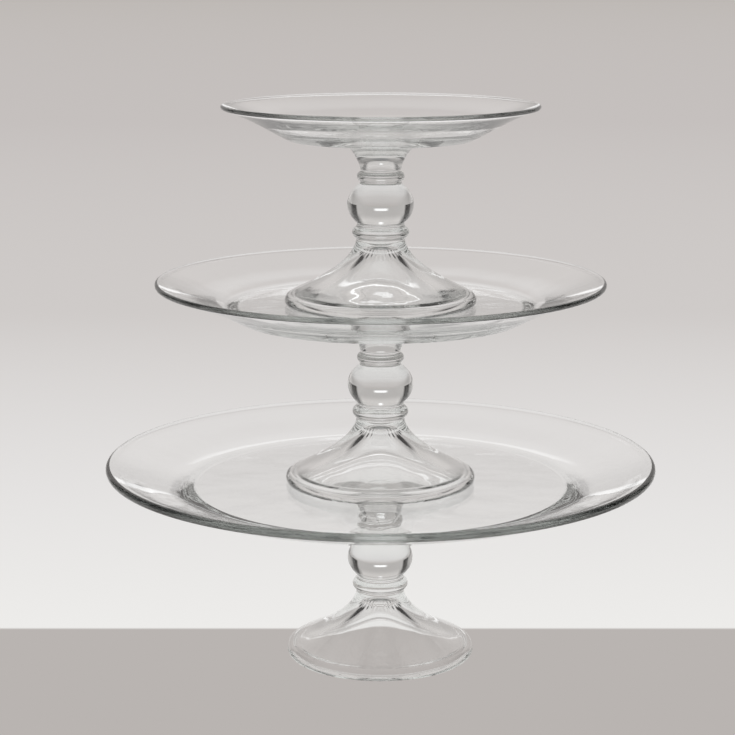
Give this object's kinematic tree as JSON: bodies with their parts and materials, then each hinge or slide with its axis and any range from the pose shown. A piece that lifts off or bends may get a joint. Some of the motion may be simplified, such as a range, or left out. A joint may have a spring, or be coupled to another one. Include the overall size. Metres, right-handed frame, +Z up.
{
  "type": "cake stand",
  "caption": "Tiered cake stand of clear pressed glass: dished plates of falling size, each on a ball-stem pedestal with a hollow bell foot, stacked to display cakes.",
  "frame": {"origin": "on the table, under the common axis of the stands", "axes": "+Z up along the axis of the stands, X and Y level; the stand is the same all round"},
  "size_m": [0.353, 0.353, 0.358],
  "materials": {
    "clear_glass": "clear fire-polished pressed glass with a faint green-grey edge tint"
  },
  "bodies": {
    "bottom_stand": {"bottom_pedestal": "clear_glass", "bottom_plate": "clear_glass"},
    "middle_stand": {"middle_pedestal": "clear_glass", "middle_plate": "clear_glass"},
    "top_stand": {"top_pedestal": "clear_glass", "top_plate": "clear_glass"}
  },
  "joints": [
    {"name": "middle_lift", "type": "slide", "parent": "bottom_stand", "child": "middle_stand", "axis": [0, 0, 1], "range_m": [0, 0.15]},
    {"name": "top_lift", "type": "slide", "parent": "middle_stand", "child": "top_stand", "axis": [0, 0, 1], "range_m": [0, 0.15]}
  ]
}
